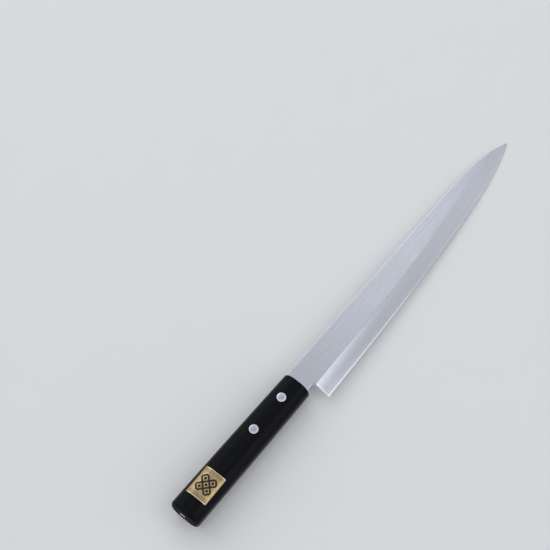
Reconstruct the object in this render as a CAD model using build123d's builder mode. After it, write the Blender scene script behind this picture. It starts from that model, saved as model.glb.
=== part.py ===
from build123d import *
from math import sqrt
import os

os.makedirs("parts", exist_ok=True)

# Yanagiba, a right-handed slicing knife with a riveted two-scale handle.
# Millimetres. +X runs to the tip, +Y to the spine and +Z out of the bevelled face.
# It lies on the flat back of its handle, with the origin below the middle of its box.

# Blade, from heel to tip
blade_length = 240.0
heel_height = 31.1
blade_thickness = 3.2
tip_thickness = 1.3
edge_thickness = 0.2
tip_drop = 9.6
spine_easing = 0.35

# Spine and edge in plan, as shares of the blade's length and heel height
drop_start_share = 0.753
drop_control_share = 0.911
edge_control_shares = ((0.496, 0.90), (0.877, 0.713))

# Single bevel: its width at even steps along the edge, heel to tip, as shares of bevel_width
bevel_width = 11.6
bevel_width_shares = (0.99, 1.00, 0.97, 0.92, 0.94, 1.01, 1.03, 0.93, 0.76)
bevel_overrun_share = 0.3

# Hollow back at even steps along the blade: where its spine side and its edge side lie, as shares
# of the heel's height, and its depth there as a share of the greatest depth
hollow_depth = 0.35
hollow_start_share = 0.05
hollow_end_share = 0.96
hollow_shares = (
    (0.17, 0.83, 0.15),
    (0.07, 0.90, 0.95),
    (0.065, 0.86, 1.00),
    (0.065, 0.805, 1.00),
    (0.065, 0.74, 1.00),
    (0.07, 0.66, 0.90),
    (0.10, 0.545, 0.65),
    (0.26, 0.345, 0.10),
)

# Neck between handle and heel; the heel leans back by heel_slant from the notch to its corner
neck_length = 8.0
neck_height = 17.5
heel_slant = 0.6
notch_radius = 2.0

# Tang inside the handle, its middle line tang_drop below the line of the spine
tang_drop = 9.1
tang_front_height = 13.0
tang_butt_height = 4.0
tang_butt_thickness = 2.4
tang_play = 0.05

# Handle: two scales that meet on the blade's middle plane
handle_length = 116.4
handle_thickness = 18.6
front_half_width = 10.4
butt_half_width = 11.65
handle_drop = 10.15
side_round = 8.5
butt_round = 2.4
front_round = 0.7
round_limit_share = 0.95

# Two-part rivets
rivet_inset = 16.0
rivet_pitch = 28.8
rivet_head_diameter = 6.5
rivet_head_thickness = 1.7
socket_diameter = 4.8
post_diameter = 3.0
rivet_play = 0.05
rivet_end_gap = 0.4

# Foil label on the handle's upper crown
label_length = 21.2
label_width = 15.8
label_corner = 0.6
label_thickness = 0.15
label_inset = 12.4
label_offset = 0.6
label_turn = 1.2

# How far a cutting form runs past what it cuts
overrun = 5.0

# Places along the knife
overall_length = handle_length + neck_length + blade_length
butt_x = -overall_length / 2
handle_front_x = butt_x + handle_length
heel_x = handle_front_x + neck_length
tip_x = heel_x + blade_length

# Places across the knife
spine_y = (heel_height + handle_drop - butt_half_width) / 2
handle_y = spine_y - handle_drop
tang_y = spine_y - tang_drop
rivet_xs = {"front": handle_front_x - rivet_inset, "rear": handle_front_x - rivet_inset - rivet_pitch}

# Roundings of the handle, limited by its walls
side_radius = min(side_round, round_limit_share * min(handle_thickness / 2, front_half_width))
butt_radius = min(butt_round, round_limit_share * side_radius)

# Heights
seam_z = handle_thickness / 2
back_z = seam_z - blade_thickness / 2
face_z = back_z + blade_thickness
above_z = handle_thickness + overrun


# A point in plan, from shares of the blade's length and of the heel's height
def on_blade(length_share, height_share):
    return (heel_x + length_share * blade_length, spine_y - height_share * heel_height)


# Height of the flat upper face, which thins steadily from the handle to the tip
def face_height(x):
    thinning = (blade_thickness - tip_thickness) / (tip_x - handle_front_x)
    return face_z - thinning * (x - handle_front_x)


# Whether a wall of the blank belongs to the spine
def is_spine_wall(wall):
    facing = wall.normal_at()
    return facing.Y > max(abs(facing.X), abs(facing.Z))


# Stations of the bevel along the edge, with one more beyond the heel and beyond the tip
def bevel_stations():
    last = len(bevel_width_shares) - 1
    pace = edge_curve.length / last
    stations = []
    for step in range(-1, last + 2):
        inside = min(max(step, 0), last)
        on_edge = edge_curve.position_at(inside * pace, PositionMode.LENGTH)
        along = edge_curve.tangent_at(inside * pace, PositionMode.LENGTH)
        past_end = (step - inside) * pace
        edge_y = on_edge.Y + past_end * along.Y / along.X
        stations.append((on_edge.X + past_end, edge_y, bevel_width * bevel_width_shares[inside]))
    return stations


# The whole handle, oval in section and widening to the butt; skin makes it larger all round
def handle_form(skin):
    front = front_half_width + skin
    butt = butt_half_width + skin
    with BuildPart() as form:
        with BuildSketch(Plane.XY.offset(-skin)):
            with BuildLine():
                Polyline(
                    (handle_front_x, handle_y + front),
                    (butt_x, handle_y + butt),
                    (butt_x, handle_y - butt),
                    (handle_front_x, handle_y - front),
                    close=True,
                )
            make_face()
        extrude(amount=handle_thickness + 2 * skin)
        rims = form.edges().group_by(Axis.Z)
        fillet((rims[0] + rims[-1]).filter_by(Axis.Y, reverse=True), radius=side_radius + skin)
        fillet(form.faces().sort_by(Axis.X)[0].edges(), radius=butt_radius)
        fillet(form.faces().sort_by(Axis.X)[-1].edges(), radius=front_round)
    return form.part


# The tapered tang, or with play the channel that takes it
def tang_form(play):
    front_x = handle_front_x + play
    rear_x = butt_x - play
    with BuildPart() as tang:
        with BuildSketch(Plane.XY.offset(back_z)):
            with BuildLine():
                Polyline(
                    (front_x, tang_y + tang_front_height / 2 + play),
                    (rear_x, tang_y + tang_butt_height / 2 + play),
                    (rear_x, tang_y - tang_butt_height / 2 - play),
                    (front_x, tang_y - tang_front_height / 2 - play),
                    close=True,
                )
            make_face()
        extrude(amount=blade_thickness)
        with BuildSketch(Plane.XZ.offset(-tang_y)):
            with BuildLine():
                Polyline(
                    (handle_front_x, face_z),
                    (butt_x, back_z + tang_butt_thickness),
                    (rear_x - overrun, back_z + tang_butt_thickness),
                    (rear_x - overrun, above_z),
                    (handle_front_x, above_z),
                    close=True,
                )
            make_face()
        extrude(amount=tang_front_height, both=True, mode=Mode.SUBTRACT)
    return tang.part


handle_body = handle_form(0)
tang_body = tang_form(0)
tang_channel = tang_form(tang_play)

# Blade: a forged blank, thinned to the tip, ground with one bevel and hollowed on its back
tip = on_blade(1, tip_drop / heel_height)
heel = on_blade(0, 1)
notch = (heel_x + heel_slant, spine_y - neck_height)
edge_curve = Bezier(heel, *[on_blade(*share) for share in edge_control_shares], tip)

with BuildPart() as blade:
    with BuildSketch(Plane.XY.offset(back_z)) as blank:
        with BuildLine():
            back = Line((handle_front_x, spine_y), on_blade(drop_start_share, 0))
            Bezier(back @ 1, on_blade(drop_control_share, 0), tip)
            add(edge_curve)
            Polyline(heel, notch, (handle_front_x, spine_y - neck_height), (handle_front_x, spine_y))
        make_face()
        fillet(blank.vertices().sort_by_distance(notch)[0], radius=notch_radius)
    extrude(amount=blade_thickness)

    # The flat face comes down towards the tip
    with BuildSketch(Plane.XZ.offset(-spine_y)):
        with BuildLine():
            Polyline(
                (handle_front_x, face_z),
                (tip_x + overrun, face_height(tip_x + overrun)),
                (tip_x + overrun, above_z),
                (handle_front_x, above_z),
                close=True,
            )
        make_face()
    extrude(amount=heel_height + overrun, both=True, mode=Mode.SUBTRACT)

    # Eased arrises along the spine
    arrises = blade.faces().filter_by(is_spine_wall).edges().filter_by(Axis.Z, reverse=True)
    fillet(arrises, radius=spine_easing)

    # The bevel, from the ridge line down to the edge, is one smooth twisted face
    for station_x, edge_y, width in bevel_stations():
        rise = face_height(station_x) - back_z - edge_thickness
        low_y = edge_y - bevel_overrun_share * width
        low_z = back_z + edge_thickness - bevel_overrun_share * rise
        high_y = edge_y + (1 + bevel_overrun_share) * width
        high_z = back_z + edge_thickness + (1 + bevel_overrun_share) * rise
        with BuildSketch(Plane.YZ.offset(station_x)):
            with BuildLine():
                Polyline((low_y, low_z), (high_y, high_z), (high_y, above_z), (low_y, above_z), close=True)
            make_face()
    loft(mode=Mode.SUBTRACT)

    # The shallow hollow of the back feathers out into a flat rim: each section is a flat arc that
    # crosses the back at the hollow's two sides and ends as far below it as the hollow is deep
    hollow_step_share = (hollow_end_share - hollow_start_share) / (len(hollow_shares) - 1)
    for step, (spine_share, edge_share, depth_share) in enumerate(hollow_shares):
        length_share = hollow_start_share + step * hollow_step_share
        station_x, middle_y = on_blade(length_share, (spine_share + edge_share) / 2)
        half_chord = sqrt(2) * heel_height * (edge_share - spine_share) / 2
        depth = hollow_depth * depth_share
        with BuildSketch(Plane.YZ.offset(station_x)):
            with BuildLine():
                low_end = (middle_y - half_chord, back_z - depth)
                high_end = (middle_y + half_chord, back_z - depth)
                ThreePointArc(low_end, (middle_y, back_z + depth), high_end)
                Line(high_end, low_end)
            make_face()
    loft(mode=Mode.SUBTRACT)

    # The tang, with clearance holes for the rivets
    add(tang_body)
    with Locations(*[(x, tang_y, face_z) for x in rivet_xs.values()]):
        Hole(radius=socket_diameter / 2 + rivet_play)
blade.part.label = "blade"
export_step(blade.part, "parts/blade.step")

# Upper scale, on the bevelled side, with half of the tang's channel
with BuildPart() as omote_scale:
    add(handle_body)
    split(bisect_by=Plane.XY.offset(seam_z), keep=Keep.TOP)
    add(tang_channel, mode=Mode.SUBTRACT)
    with Locations(*[(x, tang_y, handle_thickness) for x in rivet_xs.values()]):
        CounterBoreHole(
            radius=socket_diameter / 2 + rivet_play,
            counter_bore_radius=rivet_head_diameter / 2,
            counter_bore_depth=rivet_head_thickness,
        )
omote_scale.part.label = "omote_scale"
export_step(omote_scale.part, "parts/omote_scale.step")

# Lower scale, on the hollow side, with the other half of the channel
with BuildPart() as ura_scale:
    add(handle_body)
    split(bisect_by=Plane.XY.offset(seam_z), keep=Keep.BOTTOM)
    add(tang_channel, mode=Mode.SUBTRACT)
    with Locations(*[Plane(origin=(x, tang_y, 0), z_dir=(0, 0, -1)) for x in rivet_xs.values()]):
        CounterBoreHole(
            radius=socket_diameter / 2 + rivet_play,
            counter_bore_radius=rivet_head_diameter / 2,
            counter_bore_depth=rivet_head_thickness,
        )
ura_scale.part.label = "ura_scale"
export_step(ura_scale.part, "parts/ura_scale.step")

# Each rivet is a headed post pressed into a headed socket, both heads ground flush
for place, rivet_x in rivet_xs.items():
    with BuildPart() as rivet_post:
        with BuildSketch(Plane.XY.offset(handle_thickness - rivet_head_thickness)):
            with Locations((rivet_x, tang_y)):
                Circle(rivet_head_diameter / 2)
        extrude(amount=rivet_head_thickness)
        with BuildSketch(Plane.XY.offset(rivet_head_thickness + rivet_end_gap)):
            with Locations((rivet_x, tang_y)):
                Circle(post_diameter / 2)
        extrude(amount=handle_thickness - 2 * rivet_head_thickness - rivet_end_gap)
        add(handle_body, mode=Mode.INTERSECT)
    rivet_post.part.label = f"{place}_rivet_post"
    export_step(rivet_post.part, f"parts/{place}_rivet_post.step")

    with BuildPart() as rivet_socket:
        with BuildSketch():
            with Locations((rivet_x, tang_y)):
                Circle(rivet_head_diameter / 2)
        extrude(amount=rivet_head_thickness)
        with BuildSketch(Plane.XY.offset(rivet_head_thickness)):
            with Locations((rivet_x, tang_y)):
                Circle(socket_diameter / 2)
                Circle(post_diameter / 2 + rivet_play, mode=Mode.SUBTRACT)
        extrude(amount=handle_thickness - 2 * rivet_head_thickness - rivet_end_gap)
        add(handle_body, mode=Mode.INTERSECT)
    rivet_socket.part.label = f"{place}_rivet_socket"
    export_step(rivet_socket.part, f"parts/{place}_rivet_socket.step")

# Thin foil label, laid over the upper crown and a little out of square
label_x = butt_x + label_inset + label_length / 2
label_plane = Plane(origin=(label_x, handle_y + label_offset, seam_z)).rotated((0, 0, label_turn))
with BuildPart() as foil_label:
    with BuildSketch(label_plane):
        RectangleRounded(label_length, label_width, label_corner)
    extrude(amount=handle_thickness)
    add(handle_form(label_thickness), mode=Mode.INTERSECT)
    add(handle_body, mode=Mode.SUBTRACT)
foil_label.part.label = "foil_label"
export_step(foil_label.part, "parts/foil_label.step")
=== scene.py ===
from math import atan, cos, pi, radians, sin, tan

import bmesh
import bpy
import numpy as np
from mathutils import Matrix, Vector


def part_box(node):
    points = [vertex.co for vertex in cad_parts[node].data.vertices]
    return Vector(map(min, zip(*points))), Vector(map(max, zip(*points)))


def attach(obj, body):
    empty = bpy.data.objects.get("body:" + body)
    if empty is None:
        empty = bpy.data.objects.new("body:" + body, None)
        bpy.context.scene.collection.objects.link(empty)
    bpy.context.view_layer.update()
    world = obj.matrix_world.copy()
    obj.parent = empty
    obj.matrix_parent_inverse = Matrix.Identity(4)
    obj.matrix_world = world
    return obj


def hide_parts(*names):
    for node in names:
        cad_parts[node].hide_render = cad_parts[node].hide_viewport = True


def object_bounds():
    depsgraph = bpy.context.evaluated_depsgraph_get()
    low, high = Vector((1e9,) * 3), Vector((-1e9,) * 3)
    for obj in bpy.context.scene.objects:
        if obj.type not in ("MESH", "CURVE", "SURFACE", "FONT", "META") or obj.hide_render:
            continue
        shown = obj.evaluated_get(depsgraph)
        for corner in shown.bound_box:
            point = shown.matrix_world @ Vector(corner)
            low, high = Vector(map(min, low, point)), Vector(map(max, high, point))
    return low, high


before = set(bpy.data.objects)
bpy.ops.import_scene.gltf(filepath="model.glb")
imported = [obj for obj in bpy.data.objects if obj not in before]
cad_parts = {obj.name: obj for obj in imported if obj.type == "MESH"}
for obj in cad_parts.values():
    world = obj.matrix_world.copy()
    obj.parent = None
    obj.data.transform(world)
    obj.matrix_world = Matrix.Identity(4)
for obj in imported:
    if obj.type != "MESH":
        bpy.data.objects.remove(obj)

# Yanagiba: one forged blade, two black scales over its tang, four rivet parts and a foil label.
# Metres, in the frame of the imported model: +X to the tip, +Y to the spine, +Z out of the bevel.
mm = 0.001
cadLow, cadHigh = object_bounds()
bladeLow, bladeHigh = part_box("blade")
upperLow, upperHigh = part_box("omote_scale")
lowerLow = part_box("ura_scale")[0]

# Places read from the frame
buttX = upperLow[0]
mouthX = upperHigh[0]
tipX = bladeHigh[0]
spineY = bladeHigh[1]
backZ = bladeLow[2]
faceZ = bladeHigh[2]
seamZ = upperLow[2]
handleY = (upperLow[1] + upperHigh[1]) / 2
heelDrop = spineY - bladeLow[1]
halfThickness = (upperHigh[2] - lowerLow[2]) / 2
print("frame read, knife length", round(tipX - buttX, 4))

# Mesh tools
mergeDistance = 0.0005 * mm
creaseAngle = 28  # degrees, past which an edge stays sharp
turnedCrease = 35  # the same for rivets and foil


# An object with its data, in the scene
def newObject(name, data):
    made = bpy.data.objects.new(name, data)
    bpy.context.scene.collection.objects.link(made)
    return made


# A mesh from lists of points and faces
def newMesh(name, points, faces):
    mesh = bpy.data.meshes.new(name)
    mesh.from_pydata(points, [], faces)
    return mesh


# Quads of a grid of points, numbered row by row from first: each joins a point, the next in its row
# and the two in the row after. wrap joins the last column to the first.
def gridQuads(first, rows, columns, wrap=False):
    row = np.arange(rows - 1)[:, None]
    column = np.arange(columns if wrap else columns - 1)[None, :]
    beside = (column + 1) % columns
    corners = (row * columns + column, row * columns + beside,
               (row + 1) * columns + beside, (row + 1) * columns + column)
    return (first + np.stack(corners, axis=-1)).reshape(-1, 4)


# Points closer together than distance become one, faces without area go, and the rest face outward
def closeMesh(mesh, distance):
    work = bmesh.new()
    work.from_mesh(mesh)
    bmesh.ops.remove_doubles(work, verts=work.verts, dist=distance)
    bmesh.ops.dissolve_degenerate(work, edges=work.edges, dist=distance)
    bmesh.ops.recalc_face_normals(work, faces=work.faces)
    work.to_mesh(mesh)
    work.free()


# A closed piece from points and faces. flatUv maps the points flat, in millimetres, and the last
# argument holds named values from 0 to 1 for the points: where a stone has touched them, and where a
# highlight is painted on them.
def makePiece(name, points, faces, replaced, material, crease=creaseAngle, flatUv=None,
              wearAndHighlight=None):
    mesh = newMesh(name, points.tolist(), faces)
    if flatUv is not None:
        layer = mesh.uv_layers.new(name="flat")
        corner = np.empty(len(mesh.loops), dtype=np.int32)
        mesh.loops.foreach_get("vertex_index", corner)
        layer.data.foreach_set("uv", flatUv[corner].astype(np.float32).ravel())
    for kind, values in (wearAndHighlight or {}).items():
        layer = mesh.attributes.new(kind, "FLOAT", "POINT")
        layer.data.foreach_set("value", values.astype(np.float32))
    closeMesh(mesh, mergeDistance)
    mesh.shade_smooth()
    mesh.set_sharp_from_angle(angle=radians(crease))
    mesh.materials.append(material)
    piece = newObject(name, mesh)
    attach(piece, "root")
    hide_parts(replaced)
    print("made", name, len(mesh.polygons), "faces")
    return piece


# Smooth curve through values at even steps: between each pair a cubic that meets both, with a slope at
# each of half the difference between its two neighbours
def throughValues(values, share):
    values = np.asarray(values, dtype=float)
    place = np.clip(share, 0, 1) * (len(values) - 1)
    step = np.clip(np.floor(place).astype(int), 0, len(values) - 2)
    part = place - step
    padded = np.concatenate([[2 * values[0] - values[1]], values, [2 * values[-1] - values[-2]]])
    before, here, there, after = (padded[step + shift] for shift in range(4))
    slopeHere, slopeThere = (there - before) / 2, (after - here) / 2
    return (here * (1 + 2 * part) * (1 - part) ** 2 + slopeHere * part * (1 - part) ** 2
            + there * part ** 2 * (3 - 2 * part) - slopeThere * part ** 2 * (1 - part))


# Points of a Bezier curve: neighbouring control points are blended by share until one is left
def bezierPoints(controls, count):
    share = np.linspace(0, 1, count)[:, None]
    level = [np.asarray(point, dtype=float)[None, :] for point in controls]
    while len(level) > 1:
        level = [low * (1 - share) + high * share for low, high in zip(level, level[1:])]
    return level[0]


# Material tools: a new material with its node tree and its shader
def newMaterial(name):
    material = bpy.data.materials.new(name)
    material.use_nodes = True
    tree = material.node_tree
    return material, tree, tree.nodes["Principled BSDF"]


# Each input is linked if its value is a socket, and set otherwise
def fillInputs(tree, node, inputs):
    for socket, value in inputs.items():
        if isinstance(value, bpy.types.NodeSocket):
            tree.links.new(value, node.inputs[socket])
        else:
            node.inputs[socket].default_value = value


# A node with its settings and its inputs
def addNode(tree, kind, inputs=None, **settings):
    node = tree.nodes.new(kind)
    for setting, value in settings.items():
        setattr(node, setting, value)
    fillInputs(tree, node, inputs or {})
    return node


# One step of arithmetic on one to three values
def mathNode(tree, operation, *values):
    return addNode(tree, "ShaderNodeMath", dict(enumerate(values)), operation=operation).outputs[0]


# Value remapped in a straight line from one range to another, and held inside it
def rangeNode(tree, value, fromLow, fromHigh, toLow, toHigh):
    inputs = dict(enumerate((value, fromLow, fromHigh, toLow, toHigh)))
    return addNode(tree, "ShaderNodeMapRange", inputs).outputs["Result"]


# 1 where the value is below a place and 0 past it, with an edge of the given softness
def belowNode(tree, value, place, softness):
    return rangeNode(tree, value, place, place + softness, 1, 0)


# How far a value lies from a place
def awayNode(tree, value, place):
    return mathNode(tree, "ABSOLUTE", mathNode(tree, "SUBTRACT", value, place))


# Smooth noise from 0 to 1 over a place times a scale, with finer layers added by its detail
def noiseNode(tree, vector, scale, detail):
    inputs = {"Vector": vector, "Scale": scale, "Detail": detail}
    return addNode(tree, "ShaderNodeTexNoise", inputs).outputs[0]


# The first colour at a share of 0, the second at 1, and a straight blend between
def mixColour(tree, share, first, second):
    inputs = {0: share, 6: first, 7: second}
    return addNode(tree, "ShaderNodeMix", inputs, data_type="RGBA").outputs[2]


# The normal turned by the slope of a height, where a height of 1 stands out by the distance
def bumpNode(tree, height, strength, distance):
    inputs = {"Height": height, "Strength": strength, "Distance": distance}
    return addNode(tree, "ShaderNodeBump", inputs).outputs[0]


# The point's place in the knife's frame
def objectPlace(tree):
    return addNode(tree, "ShaderNodeTexCoord").outputs["Object"]


# The parts of that place along the axes, each multiplied by its scale
def placeParts(tree, scales):
    parts = addNode(tree, "ShaderNodeSeparateXYZ", {0: objectPlace(tree)}).outputs
    return [mathNode(tree, "MULTIPLY", part, scale) for part, scale in zip(parts, scales)]


# Three parts as one place
def joinParts(tree, parts):
    return addNode(tree, "ShaderNodeCombineXYZ", dict(enumerate(parts))).outputs[0]


# A shader group whose inputs are given as name: default, and whose outputs as names
def newGroup(name, inputs, outputs):
    group = bpy.data.node_groups.new(name, "ShaderNodeTree")
    kind = "NodeSocketFloat"
    for socket, value in inputs.items():
        made = group.interface.new_socket(socket, in_out="INPUT", socket_type=kind)
        made.default_value = value
    for socket in outputs:
        group.interface.new_socket(socket, in_out="OUTPUT", socket_type=kind)
    source = group.nodes.new("NodeGroupInput").outputs
    sink = group.nodes.new("NodeGroupOutput").inputs
    return group, source, sink


# A shared group with a material's own values
def useGroup(tree, group, **inputs):
    node = tree.nodes.new("ShaderNodeGroup")
    node.node_tree = group
    fillInputs(tree, node, inputs)
    return node.outputs


# Shared effects
effects = {
    "coarseShare": 0.35, "fineShare": 0.65, "fineShift": 7.3, "hazeScale": 38.0,
    "hairStretch": (45, 2300, 2300), "hairSoftness": 0.05,
    "hairSlants": ((0.35, 0.0), (-0.22, 4.1), (1.2, 8.7)),  # turn, shift
    "poreRange": (0.58, 0.68), "bandStretch": (0.12, 0.3, 0.3),
}


# Belt lines along the knife: a coarse and a fine noise drawn out along X, added by shares
def makeGrindLines():
    group, source, sink = newGroup(
        "grindLines", {"Along": 12.0, "Across": 2600.0, "Fine": 3.1}, ["Lines", "Haze"])
    along, across = placeParts(group, (source["Along"], source["Across"]))
    coarse = noiseNode(group, joinParts(group, (along, across, 0.0)), 1.0, 2.0)
    fineAcross = mathNode(group, "MULTIPLY", across, source["Fine"])
    fine = noiseNode(group, joinParts(group, (along, fineAcross, effects["fineShift"])), 1.0, 3.0)
    fine = mathNode(group, "MULTIPLY", fine, effects["fineShare"])
    both = mathNode(group, "MULTIPLY_ADD", coarse, effects["coarseShare"], fine)
    group.links.new(both, sink["Lines"])
    haze = noiseNode(group, objectPlace(group), effects["hazeScale"], 3.0)
    group.links.new(haze, sink["Haze"])
    return group


# Hairline scratches at three slants: noise drawn out along a turned axis, kept only at its peaks
def makeScratches():
    group, source, sink = newGroup("hairScratches", {"Rarity": 0.72}, ["Scratches"])
    fullAt = mathNode(group, "ADD", source["Rarity"], effects["hairSoftness"])
    masks = []
    for turn, shift in effects["hairSlants"]:
        inputs = {"Vector": objectPlace(group), "Scale": effects["hairStretch"],
                  "Rotation": (0, 0, turn), "Location": (shift, 0, 0)}
        noise = noiseNode(group, addNode(group, "ShaderNodeMapping", inputs).outputs[0], 1.0, 0.0)
        masks.append(rangeNode(group, noise, source["Rarity"], fullAt, 0, 1))
    pair = mathNode(group, "MAXIMUM", masks[0], masks[1])
    group.links.new(mathNode(group, "MAXIMUM", pair, masks[2]), sink["Scratches"])
    return group


# Resin-filled wood: pores are the peaks of a noise drawn out along the handle, and slow bands lie
# between them in a wider noise
def makeWoodGrain():
    group, source, sink = newGroup("woodGrain", {"Along": 60.0, "Across": 900.0}, ["Pores", "Bands"])
    place = joinParts(group, placeParts(group, (source["Along"], source["Across"], source["Across"])))
    pores = rangeNode(group, noiseNode(group, place, 1.0, 2.0), *effects["poreRange"], 0, 1)
    group.links.new(pores, sink["Pores"])
    stretched = {0: place, 1: effects["bandStretch"]}
    wide = addNode(group, "ShaderNodeVectorMath", stretched, operation="MULTIPLY").outputs[0]
    group.links.new(noiseNode(group, wide, 1.0, 1.0), sink["Bands"])
    return group


grindLines = makeGrindLines()
hairScratches = makeScratches()
woodGrain = makeWoodGrain()
print("shared effects ready")

# Blade
blade = {
    "neckLength": 8.0 * mm, "neckHeight": 17.5 * mm, "heelSlant": 0.6 * mm, "notchRadius": 2.0 * mm,
    "tipDrop": 9.6 * mm, "dropStart": 0.753, "dropControl": 0.911,
    "edgeControls": ((0.496, 0.90), (0.877, 0.713)),
    "bevelWidth": 11.6 * mm,
    "bevelWidths": (0.99, 1.00, 0.97, 0.92, 0.94, 1.01, 1.03, 0.93, 0.76),
    "bevelFoot": 0.2 * mm, "bevelSag": 0.15 * mm, "tipThickness": 1.3 * mm,
    "edgeThickness": 0.03 * mm, "edgeSlope": 0.75,
    "ridgeSoftHeel": 0.008 * mm, "ridgeSoftTip": 0.34 * mm, "softening": 1.2,
    "hollowDepth": 0.35 * mm, "hollowStart": 0.05, "hollowEnd": 0.96,
    "hollowSpine": (0.17, 0.07, 0.065, 0.065, 0.065, 0.07, 0.10, 0.26),
    "hollowEdge": (0.83, 0.90, 0.86, 0.805, 0.74, 0.66, 0.545, 0.345),
    "hollowDepths": (0.0, 0.95, 1.0, 1.0, 1.0, 0.90, 0.65, 0.0),
    # easing of spine and heel, with its limits as shares of height and thickness
    "arris": 0.35 * mm, "arrisHeight": 0.25, "arrisThick": 0.35, "heelEase": 0.5 * mm, "heelKeep": 0.6,
    "tangDrop": 9.1 * mm, "tangFrontHeight": 13.0 * mm, "tangButtHeight": 4.0 * mm,
    "tangButtThickness": 2.4 * mm,
    # what the stones touch, and the painted highlight on the polished spine arris
    "rimDepth": 0.03 * mm, "stripWidth": 0.45 * mm, "spinePolishAndHighlight": 0.25,
    # rings and columns of the mesh
    "leanLength": 24.0 * mm, "bladeRows": 330, "tipCrowding": 1.35, "clearOfHeel": 1.2,
    "neckSteps": 7, "tangSteps": 26, "notchSteps": 9, "heelSteps": 7, "cornerSteps": 5,
    "backColumns": 56, "bevelBackColumns": 34, "ridgeMargin": 0.02,
    "edgePoints": 1500, "spinePoints": 600,
}
heelX = mouthX + blade["neckLength"]
bladeLength = tipX - heelX
leanTop = blade["heelSlant"] * heelDrop / (heelDrop - blade["neckHeight"])  # of the heel, at the spine

# Shares of the way over the flat, down the bevel, and back under both
faceShares = np.array([0.08, 0.2, 0.35, 0.5, 0.65, 0.78, 0.88, 0.935, 0.965, 0.983, 0.992, 0.997, 1.0])
bevelShares = np.array([0.004, 0.01, 0.022, 0.045, 0.09, 0.17, 0.28, 0.4, 0.52, 0.64, 0.76, 0.86,
                        0.93, 0.962, 0.968, 0.985, 1.0])
underShares = np.linspace(1, 0, blade["bevelBackColumns"])[:-1]
backShares = np.linspace(1, 0, blade["backColumns"] + 1)[:-1]


# A point in plan from shares of the blade's length and of the heel's drop below the spine
def onBlade(lengthShare, dropShare):
    return (heelX + lengthShare * bladeLength, spineY - dropShare * heelDrop)


tipPoint = onBlade(1, blade["tipDrop"] / heelDrop)
edgeControls = [onBlade(*shares) for shares in blade["edgeControls"]]
edgeRun = bezierPoints([onBlade(0, 1), *edgeControls, tipPoint], blade["edgePoints"])
spineControls = [onBlade(blade["dropStart"], 0), onBlade(blade["dropControl"], 0), tipPoint]
spineRun = np.vstack([[(mouthX, spineY)], bezierPoints(spineControls, blade["spinePoints"])])
edgeLengths = np.concatenate([[0], np.cumsum(np.hypot(*np.diff(edgeRun, axis=0).T))])


# The spine in plan: straight from the mouth, then a Bezier curve down to the tip
def spineLine(x):
    return np.interp(x, spineRun[:, 0], spineRun[:, 1])


# The edge in plan: a Bezier curve from the heel's corner to the tip
def edgeLine(x):
    return np.interp(x, edgeRun[:, 0], edgeRun[:, 1])


# Width of the bevel: a smooth curve through the values given at even steps along the edge
def bevelWidthAt(x):
    share = np.interp(x, edgeRun[:, 0], edgeLengths / edgeLengths[-1])
    return blade["bevelWidth"] * throughValues(blade["bevelWidths"], share)


# The ridge in plan: the edge moved up by the bevel's width
def ridgeLine(x):
    return edgeLine(x) + bevelWidthAt(x)


# The flat face comes down in a straight line from the handle's mouth to the tip
def faceHeight(x):
    return faceZ - (faceZ - backZ - blade["tipThickness"]) * (x - mouthX) / (tipX - mouthX)


# Height of the bevelled side: the bevel rises straight from its foot to the ridge, less a sag that is
# greatest two thirds up. It and the flat face blend to half of their sum less the root of their squared
# difference and a squared softness, which grows to the tip. The steep little edge bevel cuts off what
# stands above it.
def topHeight(x, y):
    across = (y - edgeLine(x)) / bevelWidthAt(x)
    foot = backZ + blade["bevelFoot"]
    inside = np.clip(across, 0, 1)
    sag = 27 / 4 * blade["bevelSag"] * inside ** 2 * (1 - inside)
    bevel = foot + across * (faceHeight(x) - foot) - sag
    flat = faceHeight(x)
    share = np.clip((x - heelX) / bladeLength, 0, 1)
    softer = blade["ridgeSoftTip"] - blade["ridgeSoftHeel"]
    soft = blade["ridgeSoftHeel"] + softer * share ** blade["softening"]
    blended = (flat + bevel - np.sqrt((flat - bevel) ** 2 + soft ** 2)) / 2
    edgeBevel = backZ + blade["edgeThickness"] + blade["edgeSlope"] * (y - edgeLine(x))
    return np.minimum(blended, edgeBevel)


# Height of the back: flat, with a parabola hollowed between two lines that close towards the tip
def backHeight(x, y):
    along = (x - heelX) / bladeLength
    share = (along - blade["hollowStart"]) / (blade["hollowEnd"] - blade["hollowStart"])
    spineSide = spineY - heelDrop * throughValues(blade["hollowSpine"], share)
    edgeSide = spineY - heelDrop * throughValues(blade["hollowEdge"], share)
    depth = blade["hollowDepth"] * throughValues(blade["hollowDepths"], share)
    depth = np.where((share > 0) & (share < 1), depth, 0)
    across = (2 * y - spineSide - edgeSide) / (spineSide - edgeSide)
    return backZ + np.clip(depth * (1 - across ** 2), 0, None)


# How far a corner rounded by a radius lies below the flat at some distance from the wall: the radius
# less the root of its square less the square of what is left of it
def cornerDrop(distance, radius):
    inward = radius - np.clip(distance, 0, radius)
    return radius - np.sqrt(radius ** 2 - inward ** 2)


# The wall of the spine with a quarter circle at its back and its face, as columns of y and z
def spineColumns(topY, faceHigh, easing):
    turns = np.linspace(0, pi / 2, blade["cornerSteps"])[None, :]
    sineDrop = easing[:, None] * (1 - np.sin(turns))
    cosineDrop = easing[:, None] * (1 - np.cos(turns))
    columnsY = np.hstack([topY[:, None] - sineDrop, topY[:, None] - cosineDrop])
    return columnsY, np.hstack([backZ + cosineDrop, faceHigh[:, None] - sineDrop])


# Share of the way from the butt to the mouth
def alongHandle(x):
    return (x - buttX) / (mouthX - buttX)


# Half height of the tang: a straight taper
def tangHalfHeight(x):
    low, high = blade["tangButtHeight"], blade["tangFrontHeight"]
    return (low + (high - low) * alongHandle(x)) / 2


# Height of the tang's face: a straight rise from its thin end at the butt to the blade's thickness
def tangFaceHeight(x):
    thin = blade["tangButtThickness"]
    return backZ + thin + (faceZ - backZ - thin) * alongHandle(x)
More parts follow.
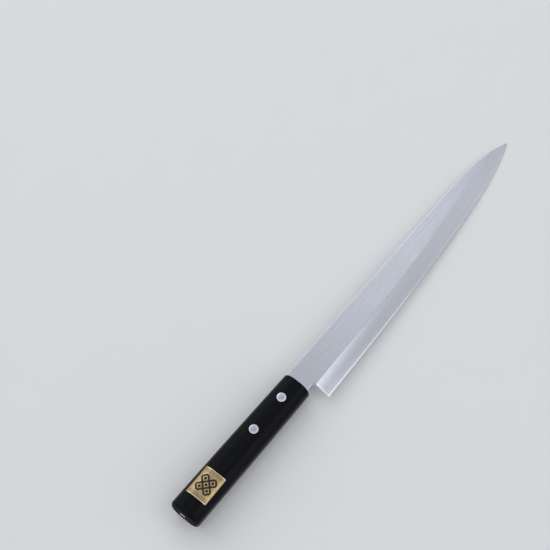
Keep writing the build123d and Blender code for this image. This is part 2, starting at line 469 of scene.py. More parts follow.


# Rings of the tang and the neck, from butt to notch, and the share of polish and painted highlight on
# them, which lies on the neck's spine arris. Each ring runs up the spine side, over the face and back
# underneath. Its lower corner follows the neck's underside and the notch's quarter circle, and its
# upper corner keeps pace.
def tangAndNeckRings():
    ridgeDrop = spineY - float(ridgeLine(np.array(heelX)))
    notchX = heelX + blade["heelSlant"] * (heelDrop - ridgeDrop) / (heelDrop - blade["neckHeight"])
    turns = np.linspace(0, pi / 2, blade["notchSteps"])
    straightX = np.linspace(mouthX, notchX - blade["notchRadius"], blade["neckSteps"])[:-1]
    neckLowX = np.concatenate([straightX, notchX - blade["notchRadius"] * (1 - np.sin(turns))])
    notched = np.concatenate([straightX * 0, 1 - np.cos(turns)])
    neckLowDrop = blade["neckHeight"] + (ridgeDrop - blade["neckHeight"]) * notched
    neckTopX = mouthX + (heelX + leanTop - mouthX) * (neckLowX - mouthX) / (notchX - mouthX)
    tangX = np.linspace(buttX, mouthX, blade["tangSteps"])
    tangHalf = tangHalfHeight(tangX)
    topX = np.concatenate([tangX, neckTopX])
    lowX = np.concatenate([tangX, neckLowX])
    topY = spineY - np.concatenate([blade["tangDrop"] - tangHalf, neckTopX * 0])
    lowY = spineY - np.concatenate([blade["tangDrop"] + tangHalf, neckLowDrop])
    faceHigh = np.concatenate([tangFaceHeight(tangX), faceHeight(neckTopX)])
    easing = np.concatenate([tangX * 0, neckTopX * 0 + blade["arris"]])
    wallY, wallZ = spineColumns(topY, faceHigh, easing)
    startY = (topY - easing)[:, None]
    overY = startY + (lowY[:, None] - startY) * faceShares
    underY = startY + (lowY[:, None] - startY) * backShares
    ringY = np.hstack([wallY, overY, underY])
    drop = (topY[:, None] - ringY) / (topY - lowY)[:, None]
    ringX = topX[:, None] + (lowX - topX)[:, None] * drop
    onTang = np.arange(len(topX))[:, None] < len(tangX)
    eased = faceHigh[:, None] - cornerDrop(overY - lowY[:, None], blade["heelEase"])
    overZ = np.where(onTang, faceHigh[:, None], eased)
    ringZ = np.hstack([wallZ, overZ, underY * 0 + backZ])
    # the neck's spine arris gets a lighter colour: a painted highlight on its polish
    polishAndHighlight = np.hstack([wallY * 0 + np.where(onTang, 0, blade["spinePolishAndHighlight"]), overY * 0, underY * 0])
    return np.stack([ringX, ringY, ringZ], axis=-1), polishAndHighlight


# Rings of the blade from heel to tip, closer together towards both, what is whetted on them, and the
# share of polish and painted highlight on them. Each ring runs up the spine, over the flat and down the
# bevel to the edge, and back under the blade. Near the heel the rings lean with it.
def bladeRings():
    corner = blade["heelEase"] * (1 - np.cos(np.linspace(0, pi / 2, blade["heelSteps"])))
    share = np.linspace(0, 1, blade["bladeRows"])
    farX = heelX + bladeLength * (1 - (1 - share) ** blade["tipCrowding"])
    farX = farX[farX > heelX + blade["clearOfHeel"] * blade["heelEase"]]
    stationX = np.concatenate([heelX + corner, farX])
    topY, lowY = spineLine(stationX), edgeLine(stationX)
    height = topY - lowY
    easing = np.minimum(blade["arris"], blade["arrisHeight"] * height)
    faceHigh = topHeight(stationX, topY - easing)
    easing = np.minimum(easing, blade["arrisThick"] * (faceHigh - backZ))
    easing[-1] = 0
    wallY, wallZ = spineColumns(topY, faceHigh, easing)
    startY = (topY - easing)[:, None]
    ridgeY = np.minimum(ridgeLine(stationX), topY - easing - blade["ridgeMargin"] * height)[:, None]
    overY = startY + (ridgeY - startY) * faceShares
    bevelY = ridgeY + (lowY[:, None] - ridgeY) * bevelShares
    underBevelY = ridgeY + (lowY[:, None] - ridgeY) * underShares
    underY = startY + (ridgeY - startY) * backShares
    ringY = np.hstack([wallY, overY, bevelY, underBevelY, underY])
    fade = np.clip(1 - (stationX - heelX) / blade["leanLength"], 0, 1)[:, None]
    ringX = np.minimum(stationX[:, None] + leanTop * (ringY - bladeLow[1]) / heelDrop * fade, tipX)
    upper = slice(wallY.shape[1], wallY.shape[1] + len(faceShares) + len(bevelShares))
    upperZ = topHeight(ringX[:, upper], ringY[:, upper])
    aboveRidge = np.clip(ringY[:, upper] - ridgeY[0], 0, None)
    dropped = cornerDrop(np.hypot(stationX[:, None] - heelX, aboveRidge), blade["heelEase"])
    upperZ = upperZ - np.minimum(dropped, blade["heelKeep"] * (upperZ - backZ))
    lowerZ = backHeight(ringX[:, upper.stop:], ringY[:, upper.stop:])
    ringZ = np.hstack([wallZ, upperZ, lowerZ])
    # the whetstone touches the flat rim of the back and a narrow strip along the edge
    rim = 1 - np.clip((lowerZ - backZ) / blade["rimDepth"], 0, 1)
    strip = 1 - np.clip((ringY[:, upper] - lowY[:, None]) / blade["stripWidth"] - 1, 0, 1)
    whetted = np.hstack([wallY * 0, strip, rim])
    # the eased corners of the spine and of the heel are painted lighter: partly their polish, partly a
    # painted highlight
    atHeel = np.arange(len(stationX))[:, None] < len(corner)
    polishAndHighlight = np.hstack([wallY * 0 + blade["spinePolishAndHighlight"], overY * 0, bevelY * 0 + atHeel,
                        underBevelY * 0, underY * 0])
    return np.stack([ringX, ringY, ringZ], axis=-1), whetted, polishAndHighlight


# The blade as one mesh: both runs of rings, the tang's end and the heel's own wall. Above the ridge
# the last ring of one run is the first of the other, so the mesh closes there.
def makeBlade(material):
    behind, behindPolishAndHighlight = tangAndNeckRings()
    ahead, whetted, polishAndHighlight = bladeRings()
    aboveRidge = 2 * blade["cornerSteps"] + len(faceShares)
    underFlat = len(backShares)
    ahead[0, :aboveRidge] = behind[-1, :aboveRidge]
    ahead[0, -underFlat:] = behind[-1, -underFlat:]
    start = behindPolishAndHighlight.size
    heelWall = start + np.arange(aboveRidge - 1, ahead.shape[1] - underFlat + 1)
    faces = [*gridQuads(0, *behind.shape[:2], wrap=True).tolist(),
             *gridQuads(start, *ahead.shape[:2], wrap=True).tolist(),
             list(range(behind.shape[1])), heelWall.tolist()]
    points = np.vstack([behind.reshape(-1, 3), ahead.reshape(-1, 3)])
    wearAndHighlight = {"whetted": np.concatenate([behindPolishAndHighlight.ravel() * 0, whetted.ravel()]),
            "polishAndHighlight": np.concatenate([behindPolishAndHighlight.ravel(), polishAndHighlight.ravel()])}
    makePiece("ground_blade", points, faces, "blade", material, wearAndHighlight=wearAndHighlight)


# Satin steel: long belt lines, a slow haze, rare slanting hairlines, lighter, smoother places where
# the whetstone has touched it, and a lighter colour on the polished corners of spine and heel that is
# partly a painted highlight
def makeBladeSteel():
    look = {
        "dark": (0.436, 0.455, 0.514, 1), "light": (0.455, 0.474, 0.535, 1),
        # the colour after the whetted one is a painted highlight for the polished spine and heel corners
        "whetted": (0.54, 0.56, 0.61, 1), "polishAndHighlight": (0.80, 0.81, 0.84, 1),
        "hairline": (0.60, 0.61, 0.64, 1), "hairShare": 0.15, "rarity": 0.74,
        "lines": {"Along": 16.0, "Across": 3600.0, "Fine": 2.9}, "lineRange": (0.35, 0.65),
        "roughRange": (0.3, 0.7), "rough": (0.28, 0.24), "haze": 0.06,
        "whettedRough": -0.09, "hairRough": -0.06, "hairHeight": -0.5,
        "bump": 0.045, "lineHeight": 0.0008 * mm,
    }
    material, tree, shader = newMaterial("satinBladeSteel")
    lines = useGroup(tree, grindLines, **look["lines"])
    hairs = useGroup(tree, hairScratches, Rarity=look["rarity"])["Scratches"]
    whetted = addNode(tree, "ShaderNodeAttribute", attribute_name="whetted").outputs["Fac"]
    polishAndHighlight = addNode(tree, "ShaderNodeAttribute", attribute_name="polishAndHighlight").outputs["Fac"]
    share = rangeNode(tree, lines["Lines"], *look["lineRange"], 0, 1)
    colour = mixColour(tree, share, look["dark"], look["light"])
    colour = mixColour(tree, whetted, colour, look["whetted"])
    # painted highlight on the polished corners of the spine and the heel
    colour = mixColour(tree, polishAndHighlight, colour, look["polishAndHighlight"])
    hairShare = mathNode(tree, "MULTIPLY", hairs, look["hairShare"])
    colour = mixColour(tree, hairShare, colour, look["hairline"])
    rough = rangeNode(tree, lines["Lines"], *look["roughRange"], *look["rough"])
    rough = mathNode(tree, "SUBTRACT", rough, look["haze"] / 2)
    for share, kind in ((lines["Haze"], "haze"), (whetted, "whettedRough"), (hairs, "hairRough")):
        rough = mathNode(tree, "MULTIPLY_ADD", share, look[kind], rough)
    height = mathNode(tree, "MULTIPLY_ADD", hairs, look["hairHeight"], lines["Lines"])
    normal = bumpNode(tree, height, look["bump"], look["lineHeight"])
    fillInputs(tree, shader, {"Base Color": colour, "Roughness": rough, "Normal": normal,
                              "Metallic": 1.0})
    return material


# Handle
handle = {
    "frontHalf": 10.4 * mm, "buttHalf": 11.65 * mm, "swell": 0.2 * mm, "sideRound": 8.5 * mm,
    "buttRound": 2.4 * mm, "frontRound": 0.7 * mm, "seamEase": 0.12 * mm, "channelPlay": 0.05 * mm,
    "rows": 150, "roundColumns": 20, "flatColumns": 7, "endSteps": 9,
}
rivets = {
    "inset": 16.0 * mm, "pitch": 28.8 * mm, "headRadius": 3.25 * mm, "headThickness": 1.7 * mm,
    "socketRadius": 2.4 * mm, "postRadius": 1.5 * mm, "play": 0.05 * mm, "endGap": 0.4 * mm,
    "holeGap": 0.03 * mm, "headEase": 0.12 * mm, "sides": 72,
    "headShares": (0.0, 0.2, 0.4, 0.6, 0.78, 0.9, 1.0),
    "drumTurn": 0.0218, "cutMerge": 0.004 * mm,
}
tangY = spineY - blade["tangDrop"]
frontRivetX = mouthX - rivets["inset"]
rivetPlaces = {"front": frontRivetX, "rear": frontRivetX - rivets["pitch"]}


# Half width of the handle: a straight taper with a parabola's swell in the middle
def handleHalf(x):
    share = alongHandle(x)
    taper = handle["buttHalf"] + (handle["frontHalf"] - handle["buttHalf"]) * share
    return taper + 4 * handle["swell"] * share * (1 - share)


# Height of the handle's crown above the seam: flat in the middle, a quarter circle to each side
def crownHeight(x, y):
    past = np.clip(np.abs(y - handleY) - (handleHalf(x) - handle["sideRound"]), 0, handle["sideRound"])
    return halfThickness - handle["sideRound"] + np.sqrt(handle["sideRound"] ** 2 - past ** 2)


# One scale as rings from butt to mouth: over the crown from the spine side to the edge side, then back
# along the seam with the tang's channel cut into it. At both ends the rings draw in by a quarter
# circle. side is 1 for the upper scale and -1 for the lower.
def makeScale(name, side, replaced, material):
    turns = np.linspace(0, pi / 2, handle["endSteps"])
    buttIn, frontIn = handle["buttRound"], handle["frontRound"]
    straightX = np.linspace(buttX + buttIn, mouthX - frontIn, handle["rows"])
    stationX = np.concatenate([buttX + buttIn * (1 - np.cos(turns[:-1])), straightX,
                               mouthX - frontIn * (1 - np.sin(turns[1:]))])
    inset = np.concatenate([buttIn * (1 - np.sin(turns[:-1])), straightX * 0,
                            frontIn * (1 - np.cos(turns[1:]))])[:, None]
    half = handleHalf(stationX)[:, None] - inset
    high = halfThickness - inset
    radius = handle["sideRound"] - inset
    bend = np.linspace(0, pi / 2, handle["roundColumns"])[None, :]
    ease = handle["seamEase"] + inset * 0
    flat = np.linspace(1, -1, handle["flatColumns"] + 2)[None, 1:-1]
    # over the crown, from the spine side to the edge side
    sideY = half - radius + radius * np.cos(bend)
    sideZ = high - radius + radius * np.sin(bend)
    flatY = (half - radius) * flat
    ringY = [half - ease, half, sideY, flatY, -sideY[:, ::-1], -half, -half + ease]
    ringZ = [inset * 0, ease, sideZ, high + flatY * 0, sideZ[:, ::-1], ease, inset * 0]
    # back along the seam, with the channel, which follows the tang's taper
    tangHalf = (tangHalfHeight(stationX) + handle["channelPlay"])[:, None]
    aboveSeam = (tangFaceHeight(stationX) - seamZ)[:, None]
    deep = aboveSeam if side > 0 else aboveSeam * 0 + seamZ - backZ
    offset = tangY - handleY
    ringY += [offset - tangHalf, offset - tangHalf, offset + tangHalf, offset + tangHalf]
    ringZ += [inset * 0, deep, deep, inset * 0]
    ringY, ringZ = np.hstack(ringY), np.hstack(ringZ)
    ringX = stationX[:, None] + ringY * 0
    points = np.stack([ringX, handleY + ringY, seamZ + side * ringZ], axis=-1)
    rows, columns = points.shape[:2]
    faces = [*gridQuads(0, rows, columns, wrap=True).tolist(), list(range(columns)),
             list(range((rows - 1) * columns, rows * columns))]
    scale = makePiece(name, points.reshape(-1, 3), faces, replaced, material)
    headHole = rivets["headRadius"] + rivets["holeGap"]
    tubeHole = rivets["socketRadius"] + rivets["play"]
    headFloor = seamZ + side * (halfThickness - rivets["headThickness"])
    for rivetX in rivetPlaces.values():
        cutHole(scale, rivetX, headHole, headFloor, side * halfThickness)
        cutHole(scale, rivetX, tubeHole, seamZ - halfThickness, 2 * halfThickness)
    scale.data.set_sharp_from_angle(angle=radians(creaseAngle))


# A round hole along Z: a drum of two circles is taken from the piece, and then thrown away
def cutHole(piece, centreX, radius, startZ, length):
    count = rivets["sides"]
    turn = np.linspace(0, 2 * pi, count, endpoint=False) + rivets["drumTurn"]
    ring = np.stack([centreX + radius * np.cos(turn), tangY + radius * np.sin(turn)], axis=-1)
    ends = sorted((startZ, startZ + length))
    points = np.vstack([np.column_stack([ring, np.full(count, z)]) for z in ends])
    faces = [*gridQuads(0, 2, count, wrap=True).tolist(), list(range(count))[::-1],
             list(range(count, 2 * count))]
    drum = newObject("drum", newMesh("drum", points.tolist(), faces))
    cut = piece.modifiers.new("hole", "BOOLEAN")
    cut.operation = "DIFFERENCE"
    cut.solver = "EXACT"
    cut.object = drum
    whole = piece.evaluated_get(bpy.context.evaluated_depsgraph_get())
    holed = bpy.data.meshes.new_from_object(whole)
    closeMesh(holed, rivets["cutMerge"])
    piece.modifiers.clear()
    old = piece.data
    piece.data = holed
    bpy.data.meshes.remove(old)
    bpy.data.objects.remove(drum)


# Satin black resin-filled wood: faint bands and pores, and rougher sawn end grain at the butt
def makeBlackLaminate():
    look = {
        "dark": (0.0012, 0.0015, 0.0027, 1), "light": (0.0026, 0.0032, 0.0055, 1),
        "pore": (0.0012, 0.0012, 0.0012, 1), "poreShare": 0.6,
        "grain": {"Along": 70.0, "Across": 1500.0},
        "bandRange": (0.35, 0.65), "roughRange": (0.3, 0.7), "rough": (0.30, 0.42),
        "poreRough": 0.12, "endRough": 0.4, "endDepth": 0.6 * mm,
        "bump": 0.35, "poreDepth": 0.02 * mm, "gloss": 0.08,
    }
    material, tree, shader = newMaterial("blackLaminatedWood")
    grain = useGroup(tree, woodGrain, **look["grain"])
    share = rangeNode(tree, grain["Bands"], *look["bandRange"], 0, 1)
    colour = mixColour(tree, share, look["dark"], look["light"])
    poreShare = mathNode(tree, "MULTIPLY", grain["Pores"], look["poreShare"])
    colour = mixColour(tree, poreShare, colour, look["pore"])
    rough = rangeNode(tree, grain["Bands"], *look["roughRange"], *look["rough"])
    rough = mathNode(tree, "MULTIPLY_ADD", grain["Pores"], look["poreRough"], rough)
    lengthwise = addNode(tree, "ShaderNodeSeparateXYZ", {0: objectPlace(tree)}).outputs[0]
    endGrain = rangeNode(tree, lengthwise, buttX, buttX + look["endDepth"], look["endRough"], 0)
    rough = mathNode(tree, "ADD", rough, endGrain)
    height = mathNode(tree, "SUBTRACT", 1.0, grain["Pores"])
    normal = bumpNode(tree, height, look["bump"], look["poreDepth"])
    fillInputs(tree, shader, {"Base Color": colour, "Roughness": rough, "Normal": normal,
                              "Specular IOR Level": look["gloss"]})
    return material


# A circle about a rivet's axis, as x and y
def rivetCircle(rivetX, radius):
    turn = np.linspace(0, 2 * pi, rivets["sides"], endpoint=False)
    return rivetX + radius * np.cos(turn), tangY + radius * np.sin(turn)


# A rivet part turned about Z: its head follows the handle's crown out to an eased rim, and profile
# then lists each radius and height above the seam, through the shank or tube to the middle
def makeRivetPart(name, rivetX, side, profile, replaced, material):
    reach, ease = rivets["headRadius"], rivets["headEase"]
    head = [(share * (reach - ease), 0) for share in rivets["headShares"]]
    rings = []
    for radius, drop in [*head, (reach, ease)]:
        x, y = rivetCircle(rivetX, radius)
        rings.append(np.stack([x, y, seamZ + side * (crownHeight(x, y) - drop)], axis=-1))
    for radius, height in profile:
        x, y = rivetCircle(rivetX, radius)
        rings.append(np.stack([x, y, x * 0 + seamZ + side * height], axis=-1))
    points = np.stack(rings)
    flat = (points[:, :, :2] - np.array([rivetX, tangY])).reshape(-1, 2) / mm
    faces = gridQuads(0, len(rings), rivets["sides"], wrap=True)
    makePiece(name, points.reshape(-1, 3), faces.tolist(), replaced, material,
              turnedCrease, flat)


# Both halves of each rivet: a post with a solid shank from above, in a tube with its own head below
def makeRivets(material):
    headStart = halfThickness - rivets["headThickness"]
    farEnd = rivets["endGap"] - headStart
    shank, tube = rivets["postRadius"], rivets["socketRadius"]
    bore = shank + rivets["play"]
    post = [(rivets["headRadius"], headStart), (shank, headStart), (shank, farEnd), (0.0, farEnd)]
    socket = [(rivets["headRadius"], headStart), (tube, headStart), (tube, farEnd),
              (bore, farEnd), (bore, headStart), (0.0, headStart)]
    for place, rivetX in rivetPlaces.items():
        makeRivetPart(f"{place}_post", rivetX, 1, post, f"{place}_rivet_post", material)
        makeRivetPart(f"{place}_socket", rivetX, -1, socket, f"{place}_rivet_socket", material)


# Bright steel heads, read from the flat map: fine turned rings as a sine of the radius, a mottled,
# darker middle and a brighter rim
def makeRivetMetal():
    look = {
        "light": (0.60, 0.60, 0.69, 1), "dark": (0.36, 0.36, 0.43, 1),
        "rimColour": (0.68, 0.68, 0.75, 1),
        # places on the head in millimetres, shades as shares
        "ringStep": 0.55, "wobble": 0.3, "wobbleScale": 0.55, "rim": (2.5, 2.75),
        "middle": (1.2, 2.4), "middleShade": (0.55, 0.05), "ringShade": 0.2,
        "mottleRange": (0.4, 0.62), "mottleShade": 0.45,
        "lines": {"Along": 60.0, "Across": 3500.0, "Fine": 2.5}, "roughRange": (0.3, 0.7),
        "rough": (0.34, 0.24), "ringRough": 0.06, "bump": 0.2, "ringHeight": 0.004 * mm,
    }
    material, tree, shader = newMaterial("groundRivetSteel")
    flat = addNode(tree, "ShaderNodeUVMap", uv_map="flat").outputs[0]
    radius = addNode(tree, "ShaderNodeVectorMath", {0: flat}, operation="LENGTH").outputs["Value"]
    wobble = noiseNode(tree, flat, look["wobbleScale"], 3.0)
    turned = mathNode(tree, "MULTIPLY_ADD", wobble, look["wobble"], radius)
    wave = mathNode(tree, "SINE", mathNode(tree, "MULTIPLY", turned, 2 * pi / look["ringStep"]))
    rings = rangeNode(tree, wave, -1, 1, 0, 1)
    middle = rangeNode(tree, turned, *look["middle"], *look["middleShade"])
    mottle = rangeNode(tree, wobble, *look["mottleRange"], 0, look["mottleShade"])
    mottle = mathNode(tree, "MULTIPLY_ADD", rings, look["ringShade"], mottle)
    colour = mixColour(tree, mathNode(tree, "ADD", mottle, middle), look["light"], look["dark"])
    rim = rangeNode(tree, radius, *look["rim"], 0, 1)
    colour = mixColour(tree, rim, colour, look["rimColour"])
    lines = useGroup(tree, grindLines, **look["lines"])["Lines"]
    rough = rangeNode(tree, lines, *look["roughRange"], *look["rough"])
    rough = mathNode(tree, "MULTIPLY_ADD", rings, look["ringRough"], rough)
    normal = bumpNode(tree, rings, look["bump"], look["ringHeight"])
    fillInputs(tree, shader, {"Base Color": colour, "Roughness": rough, "Normal": normal,
                              "Metallic": 1.0})
    return material


# Label
label = {
    "length": 21.2 * mm, "width": 15.8 * mm, "inset": 12.4 * mm, "offset": 0.6 * mm, "turn": 1.2,
    "corner": 0.6 * mm, "thickness": 0.12 * mm, "lift": 0.004 * mm, "rows": 64, "columns": 52,
}


# A sheet of foil bent over the crown: a rounded rectangle in plan, lifted by the handle's height under
# it. Its top stands square to the crown by the foil's thickness. Its rows lie closer at both ends, where
# each draws in by a quarter circle.
def makeLabel(material):
    rows, columns = label["rows"], label["columns"]
    halfLength, halfWidth = label["length"] / 2, label["width"] / 2
    across = np.linspace(-1, 1, columns)[None, :]
    along = np.sin(np.linspace(-pi / 2, pi / 2, rows))[:, None]
    past = np.clip(np.abs(along) * halfLength - (halfLength - label["corner"]), 0, label["corner"])
    narrow = label["corner"] - np.sqrt(label["corner"] ** 2 - past ** 2)
    u = along * halfLength + across * 0
    v = across * (halfWidth - narrow)
    turn = radians(label["turn"])
    x = buttX + label["inset"] + halfLength + u * cos(turn) - v * sin(turn)
    y = handleY + label["offset"] + u * sin(turn) + v * cos(turn)
    z = seamZ + crownHeight(x, y)
    slope = np.gradient(z, axis=1) / np.gradient(y, axis=1)
    steep = np.sqrt(1 + slope ** 2)
    thick = label["thickness"]
    top = np.stack([x, y - thick * slope / steep, z + thick / steep], axis=-1)
    under = np.stack([x, y, z + label["lift"]], axis=-1)
    index = np.arange(rows * columns).reshape(rows, columns)
    rim = np.concatenate([index[0, :], index[1:, -1], index[-1, -2::-1], index[-2:0:-1, 0]])
    nextRim = np.roll(rim, -1)
    wall = np.stack([rim, nextRim, nextRim + index.size, rim + index.size], axis=-1)
    faces = [*gridQuads(0, rows, columns).tolist(),
             *gridQuads(index.size, rows, columns)[:, ::-1].tolist(), *wall.tolist()]
    points = np.vstack([top.reshape(-1, 3), under.reshape(-1, 3)])
    flat = np.tile(np.stack([u, v], axis=-1).reshape(-1, 2) / mm, (2, 1))
    makePiece("printed_foil", points, faces, "foil_label", material, turnedCrease, flat)


# Gold foil with a dark print, read from the flat map: two sets of slanting lines make lozenges, each
# with a smaller one inside, a row of dashes and a thin line close each end, and a painted highlight
# lies along both short ends
def makeGoldFoil():
    look = {
        "gold": (0.33, 0.25, 0.12, 1), "pale": (0.47, 0.39, 0.225, 1), "brown": (0.22, 0.15, 0.08, 1),
        # the first colour below is a painted highlight for the foil's short ends
        "endHighlightColour": (0.70, 0.62, 0.42, 1), "ink": (0.014, 0.008, 0.005, 1),
        # places in the print in millimetres, its lines and hearts as shares of a lozenge
        "cell": (6.3, 6.0), "field": (6.3, 6.0), "fieldSoftness": 0.06, "line": (0.70, 0.73),
        "heart": 0.38, "hearts": 0.78, "heartSoftness": 0.03, "heartsSoftness": 0.02,
        "dashPitch": 1.15, "dashHalf": 0.16, "dashSoftness": 0.04, "dashRow": (8.2, 0.32),
        "thinRow": (9.35, 0.09), "rowSoftness": 0.05, "rowReach": 6.9, "endHighlight": (10.1, 10.3),
        "endHighlightShare": 0.8, "speckleScale": 2.2, "speckleRange": (0.38, 0.66), "patchScale": 0.28,
        "patchRange": (0.45, 0.75), "patchShare": 0.6, "roughRange": (0.3, 0.7), "rough": (0.32, 0.42),
        "inkRough": 0.25, "crinkle": 0.6, "bump": 0.3, "bumpHeight": 0.02 * mm, "gloss": 0.25,
    }
    material, tree, shader = newMaterial("printedGoldFoil")
    flat = addNode(tree, "ShaderNodeUVMap", uv_map="flat").outputs[0]
    along, across = addNode(tree, "ShaderNodeSeparateXYZ", {0: flat}).outputs[:2]
    farAlong = mathNode(tree, "ABSOLUTE", along)
    farAcross = mathNode(tree, "ABSOLUTE", across)

    # how near each point is to a line of either set: 0 in the middle of a lozenge, 1 on the line
    alongCell = mathNode(tree, "DIVIDE", along, look["cell"][0])
    acrossCell = mathNode(tree, "DIVIDE", across, look["cell"][1])
    slants = []
    for sign in (1, -1):
        slant = mathNode(tree, "MULTIPLY_ADD", acrossCell, sign, alongCell)
        part = mathNode(tree, "FRACT", mathNode(tree, "ADD", slant, 0.5))
        slants.append(mathNode(tree, "MULTIPLY", awayNode(tree, part, 0.5), 2))
    outer = mathNode(tree, "MAXIMUM", *slants)
    line = rangeNode(tree, outer, *look["line"], 0, 1)
    nearest = mathNode(tree, "MAXIMUM", mathNode(tree, "ABSOLUTE", alongCell),
                       mathNode(tree, "ABSOLUTE", acrossCell))
    hearts = belowNode(tree, nearest, look["hearts"], look["heartsSoftness"])
    heart = belowNode(tree, outer, look["heart"], look["heartSoftness"])
    heart = mathNode(tree, "MULTIPLY", hearts, heart)
    field = mathNode(tree, "MULTIPLY",
                     belowNode(tree, farAlong, look["field"][0], look["fieldSoftness"]),
                     belowNode(tree, farAcross, look["field"][1], look["fieldSoftness"]))
    lattice = mathNode(tree, "MULTIPLY", mathNode(tree, "MAXIMUM", line, heart), field)

    # the dashes and the thin line at both ends
    beat = mathNode(tree, "FRACT", mathNode(tree, "DIVIDE", across, look["dashPitch"]))
    dashes = belowNode(tree, awayNode(tree, beat, 0.5), look["dashHalf"], look["dashSoftness"])
    bands = [belowNode(tree, awayNode(tree, farAlong, place), half, look["rowSoftness"])
             for place, half in (look["dashRow"], look["thinRow"])]
    border = mathNode(tree, "MAXIMUM", mathNode(tree, "MULTIPLY", bands[0], dashes), bands[1])
    inside = belowNode(tree, farAcross, look["rowReach"], look["fieldSoftness"])
    ink = mathNode(tree, "MAXIMUM", lattice, mathNode(tree, "MULTIPLY", border, inside))

    speckle = noiseNode(tree, flat, look["speckleScale"], 4.0)
    patches = noiseNode(tree, flat, look["patchScale"], 2.0)
    gold = mixColour(tree, rangeNode(tree, speckle, *look["speckleRange"], 0, 1),
                     look["gold"], look["pale"])
    gold = mixColour(tree, rangeNode(tree, patches, *look["patchRange"], 0, look["patchShare"]),
                     gold, look["brown"])
    # painted highlight along both short ends of the foil
    gold = mixColour(tree, rangeNode(tree, farAlong, *look["endHighlight"], 0, look["endHighlightShare"]),
                     gold, look["endHighlightColour"])
    colour = mixColour(tree, ink, gold, look["ink"])
    rough = rangeNode(tree, speckle, *look["roughRange"], *look["rough"])
    rough = mathNode(tree, "MULTIPLY_ADD", ink, look["inkRough"], rough)
    height = mathNode(tree, "MULTIPLY_ADD", speckle, look["crinkle"], ink)
    normal = bumpNode(tree, height, look["bump"], look["bumpHeight"])
    fillInputs(tree, shader, {"Base Color": colour, "Roughness": rough, "Normal": normal,
                              "Metallic": rangeNode(tree, ink, 0, 1, 1, 0),
                              "Specular IOR Level": look["gloss"]})
    return material


# Making the pieces
bladeSteel = makeBladeSteel()
blackLaminate = makeBlackLaminate()
rivetMetal = makeRivetMetal()
goldFoil = makeGoldFoil()
print("materials ready")
makeBlade(bladeSteel)
makeScale("upper_scale", 1, "omote_scale", blackLaminate)
makeScale("lower_scale", -1, "ura_scale", blackLaminate)
makeRivets(rivetMetal)
makeLabel(goldFoil)

# Floor, light and camera
stage = {
    "size": 5.0, "colour": (0.80, 0.80, 0.805, 1), "paler": 0.985, "grainStretch": (9, 9, 9),
    "grainScale": 5.0, "rough": 0.9, "gloss": 0.1,
    "sky": (0.93, 0.95, 1.0, 1), "skyStrength": 0.56,
    "backdrop": (0.73, 0.735, 0.745, 1), "fade": (0.35, 1.0),
    "lights": (
        # name, place seen from the knife's middle, width and depth, watts, colour
        ("windowLight", (0.45, 1.50, 1.26), (2.6, 1.5), 13, (0.97, 0.98, 1.0)),
        ("overheadLight", (-0.80, 0.25, 1.60), (0.7, 0.7), 2.2, (1.0, 1.0, 1.0)),
        ("middlePanel", (0.88, 0.38, 1.70), (0.36, 0.5), 0.40, (1.0, 1.0, 1.0)),
        ("heelPanel", (0.42, -0.95, 1.66), (0.74, 0.74), 2.5, (1.0, 1.0, 1.0)),
        ("tipPanel", (1.10, -0.14, 1.66), (0.8, 0.36), 0.42, (1.0, 1.0, 1.0)),
        ("fillLight", (0.35, -1.6, 1.1), (1.2, 1.0), 4.0, (1.0, 0.99, 0.97)),
        ("lowLight", (0.15, 0.40, -1.40), (0.7, 0.7), 1.3, (1.0, 1.0, 1.0)),
    ),
}
tableTilt = atan(backZ / (tipX - mouthX))


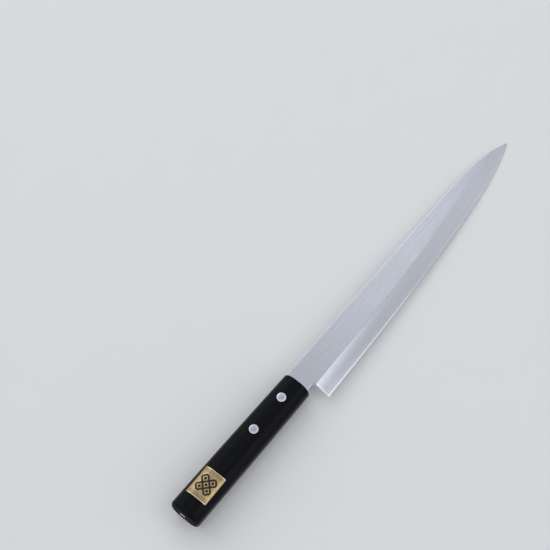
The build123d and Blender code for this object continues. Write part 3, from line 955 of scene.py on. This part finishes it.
# The table: a square, tilted so that the handle's mouth and the tip both lie on it
def makeFloor():
    half = stage["size"] / 2
    plan = ((-half, -half), (half, -half), (half, half), (-half, half))
    corners = [(x, y, tan(tableTilt) * (x - mouthX)) for x, y in plan]
    floor = newObject("floor", newMesh("floor", corners, [(0, 1, 2, 3)]))
    material, tree, shader = newMaterial("paleTable")
    place = objectPlace(tree)
    stretched = addNode(tree, "ShaderNodeMapping", {"Vector": place, "Scale": stage["grainStretch"]})
    noise = noiseNode(tree, stretched.outputs[0], stage["grainScale"], 2.0)
    pale = [channel * stage["paler"] for channel in stage["colour"][:3]] + [1]
    fillInputs(tree, shader, {"Base Color": mixColour(tree, noise, pale, stage["colour"]),
                              "Roughness": stage["rough"], "Specular IOR Level": stage["gloss"]})
    # away from the knife the table turns into the even backdrop, for the camera only
    path = addNode(tree, "ShaderNodeLightPath").outputs
    distance = addNode(tree, "ShaderNodeVectorMath", {0: place}, operation="LENGTH").outputs["Value"]
    fade = mathNode(tree, "MULTIPLY", rangeNode(tree, distance, *stage["fade"], 0, 1),
                    path["Is Camera Ray"])
    glow = addNode(tree, "ShaderNodeEmission", {"Color": stage["backdrop"], "Strength": 1.0})
    faded = addNode(tree, "ShaderNodeMixShader", {0: fade, 1: shader.outputs[0], 2: glow.outputs[0]})
    # it is clear from below, so the back of the knife shows, and metal mirrors the backdrop through it
    clear = addNode(tree, "ShaderNodeBsdfTransparent")
    behind = addNode(tree, "ShaderNodeNewGeometry").outputs["Backfacing"]
    through = mathNode(tree, "MAXIMUM", behind, path["Is Glossy Ray"])
    blend = addNode(tree, "ShaderNodeMixShader", {0: through, 1: faded.outputs[0], 2: clear.outputs[0]})
    tree.links.new(blend.outputs[0], tree.nodes["Material Output"].inputs["Surface"])
    floor.data.materials.append(material)


# Soft panels that face the knife's middle, and a sky that is an even backdrop to camera and metal
def makeLights():
    middle = Vector([(low + high) / 2 for low, high in zip(cadLow, cadHigh)])
    for name, place, size, watts, colour in stage["lights"]:
        lamp = bpy.data.lights.new(name, "AREA")
        lamp.shape = "RECTANGLE"
        lamp.size, lamp.size_y = size
        lamp.energy = watts
        lamp.color = colour
        light = newObject(name, lamp)
        light.location = middle + Vector(place)
        light.rotation_euler = Vector(place).to_track_quat("Z", "Y").to_euler()
        light.visible_camera = False
    world = bpy.data.worlds.new("studio")
    bpy.context.scene.world = world
    world.use_nodes = True
    tree = world.node_tree
    sky = tree.nodes["Background"]
    fillInputs(tree, sky, {"Color": stage["sky"], "Strength": stage["skyStrength"]})
    backdrop = addNode(tree, "ShaderNodeBackground", {"Color": stage["backdrop"], "Strength": 1.0})
    path = addNode(tree, "ShaderNodeLightPath").outputs
    mirrored = mathNode(tree, "MAXIMUM", path["Is Glossy Ray"], path["Is Transmission Ray"])
    seen = mathNode(tree, "MAXIMUM", path["Is Camera Ray"], mirrored)
    blend = addNode(tree, "ShaderNodeMixShader", {0: seen, 1: sky.outputs[0], 2: backdrop.outputs[0]})
    tree.links.new(blend.outputs[0], tree.nodes["World Output"].inputs["Surface"])


camera = {
    "place": (-0.33920, -0.16687, 0.86903), "right": (0.632543, -0.773967, 0.029385),
    "up": (0.693556, 0.582898, 0.423332), "lens": 89.07, "sensor": 36.0,
}


# The photograph's camera: it looks against the cross product of its right and up directions
def makeCamera():
    data = bpy.data.cameras.new("camera")
    data.lens = camera["lens"]
    data.sensor_width = camera["sensor"]
    right, up = Vector(camera["right"]), Vector(camera["up"])
    turned = Matrix((right, up, right.cross(up))).transposed().to_4x4()
    view = newObject("camera", data)
    view.matrix_world = Matrix.Translation(camera["place"]) @ turned
    bpy.context.scene.camera = view


makeFloor()
makeLights()
makeCamera()
bpy.context.scene.view_settings.view_transform = "Standard"
print("floor, lights and camera ready")
